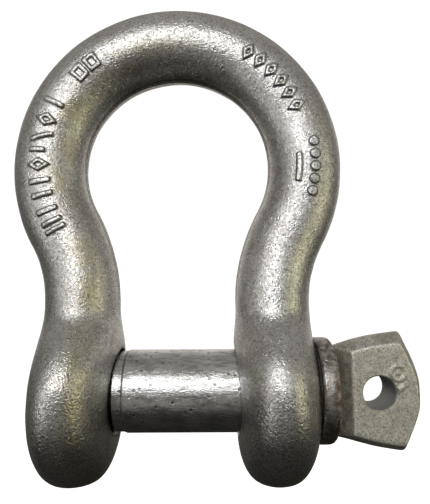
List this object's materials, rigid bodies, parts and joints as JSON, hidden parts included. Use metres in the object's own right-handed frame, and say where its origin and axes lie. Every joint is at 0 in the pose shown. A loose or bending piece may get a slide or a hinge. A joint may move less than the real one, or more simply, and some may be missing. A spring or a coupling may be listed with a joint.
{
  "type": "bow shackle",
  "caption": "Forged screw pin bow shackle: a round bar bow with two eyes, closed by a screwed pin with a collar and a flat eyed head.",
  "frame": {"origin": "on the pin's axis, midway between the two eyes", "axes": "+X along the pin towards its head, +Z from the pin towards the crown of the bow, +Y through the bow's opening"},
  "size_m": [0.1945, 0.084, 0.229],
  "materials": {
    "bow_zinc": "hot-dip galvanised forging, dull spangled zinc",
    "pin_zinc": "galvanised, rubbed brighter on the shank"
  },
  "bodies": {
    "bow": {"bow": "bow_zinc"},
    "pin": {"screw_pin": "pin_zinc"}
  },
  "joints": [
    {"name": "pin_withdraw", "type": "slide", "parent": "bow", "child": "pin", "axis": [1, 0, 0], "range_m": [0, 0.135]}
  ]
}
